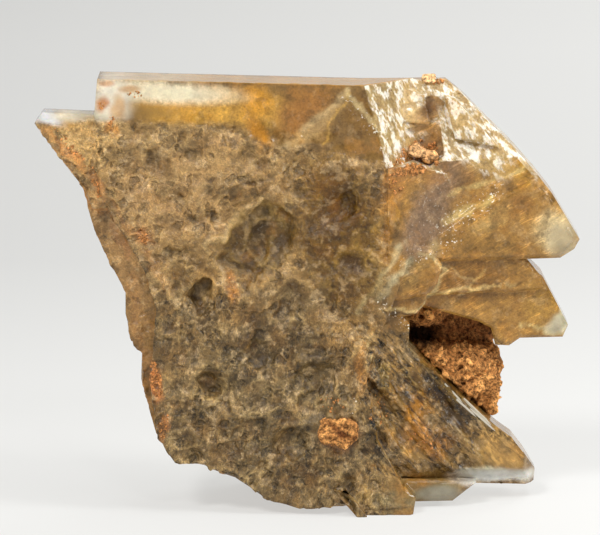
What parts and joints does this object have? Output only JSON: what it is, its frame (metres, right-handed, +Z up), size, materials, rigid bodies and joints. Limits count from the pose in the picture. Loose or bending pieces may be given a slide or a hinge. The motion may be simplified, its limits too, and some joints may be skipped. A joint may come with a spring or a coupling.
{
  "type": "mineral crystal specimen",
  "caption": "Intergrown thick tabular gorgeyite crystals, etched on the broad face and fanned into glassy points on one side, with brown clay in the cleft; it stands on its broken foot.",
  "frame": {"origin": "on the surface that the specimen stands on, under the middle of its outline", "axes": "+X to the viewer's right toward the fanned points, +Y away from the viewer through the broad faces, +Z up"},
  "size_m": [0.05, 0.0174, 0.0406],
  "materials": {
    "gorgeyite": "etched, waxy to glassy, clear along some edges",
    "clay": "matt, crumbly"
  },
  "bodies": {
    "root": {"crystal_group": "gorgeyite", "clay_matrix": "clay", "clay_patch_front": "clay", "clay_patch_recess": "clay", "clay_patch_top": "clay"}
  },
  "joints": []
}
